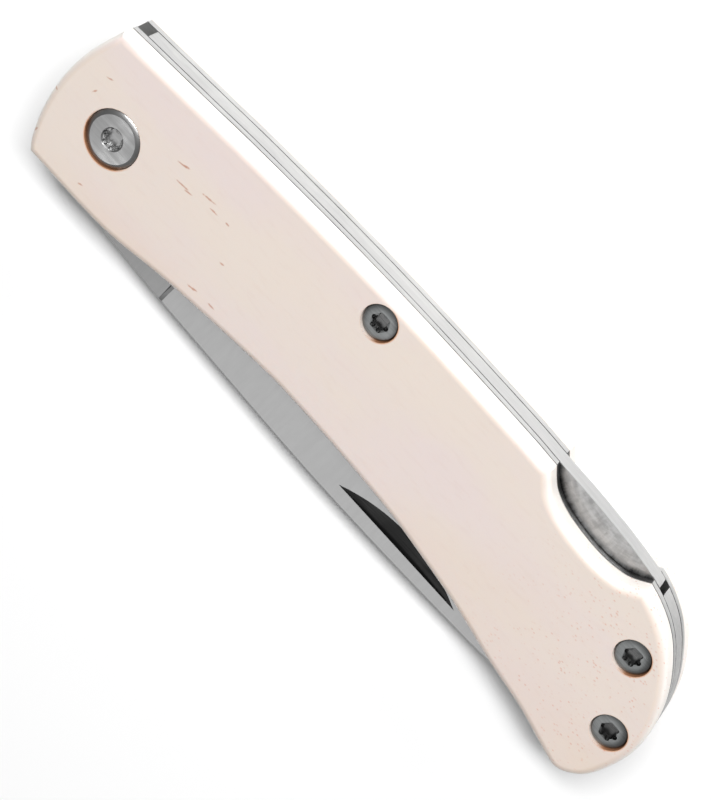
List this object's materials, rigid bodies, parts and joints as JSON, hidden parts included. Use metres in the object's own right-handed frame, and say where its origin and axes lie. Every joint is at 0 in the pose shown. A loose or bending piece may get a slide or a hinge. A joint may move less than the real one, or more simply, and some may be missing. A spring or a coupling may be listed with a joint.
{
  "type": "folding lockback whittling knife",
  "caption": "Slim folding pocket knife with polished pale bone scales on steel liners, a ground blade and a rocker lock bar along the spine.",
  "frame": {"origin": "on the surface the closed knife lies on, under the middle of its bounding box", "axes": "+X from the pivot end to the butt, +Y from the blade's side to the spine, +Z out of the front scale"},
  "size_m": [0.1026, 0.0272, 0.0098],
  "materials": {
    "bone": "smooth polished bone, cream with faint tan clouds, pores and short red-brown streaks",
    "liner_steel": "satin ground edges",
    "lock_bar_steel": "satin ground top, coarser cross grinding on the flanks",
    "blade_steel": "fine satin, full flat grind",
    "spring_steel": "plain tempered strip",
    "pivot_screw_steel": "turned, satin, bevelled rim",
    "body_screw_steel": "turned, darker satin",
    "barrel_steel": "turned",
    "washer_bronze": "thin phosphor bronze sheet"
  },
  "bodies": {
    "handle": {"front_scale": "bone", "rear_scale": "bone", "front_liner": "liner_steel", "rear_liner": "liner_steel", "butt_spacer": "lock_bar_steel", "lock_spring": "spring_steel", "front_pivot_screw": "pivot_screw_steel", "rear_pivot_screw": "pivot_screw_steel", "front_pivot_washer": "washer_bronze", "rear_pivot_washer": "washer_bronze", "pivot_barrel": "barrel_steel", "lock_bar_barrel": "barrel_steel", "upper_butt_barrel": "barrel_steel", "lower_butt_barrel": "barrel_steel", "front_lock_bar_screw": "body_screw_steel", "front_upper_butt_screw": "body_screw_steel", "front_lower_butt_screw": "body_screw_steel", "rear_lock_bar_screw": "body_screw_steel", "rear_upper_butt_screw": "body_screw_steel", "rear_lower_butt_screw": "body_screw_steel"},
    "blade": {"blade": "blade_steel"},
    "lock_bar": {"lock_bar": "lock_bar_steel"}
  },
  "joints": [
    {"name": "blade_pivot", "type": "hinge", "parent": "handle", "child": "blade", "pos_m": [-0.04189, 0.00048, 0.0049], "axis": [0, 0, -1], "range_deg": [0, 180]},
    {"name": "lock_rocker", "type": "hinge", "parent": "handle", "child": "lock_bar", "pos_m": [-0.00509, 0.01029, 0.0049], "axis": [0, 0, -1], "range_deg": [-1.2, 1.8], "stiffness_Nm_per_rad": 0.5, "deforming": ["lock_spring"]}
  ]
}
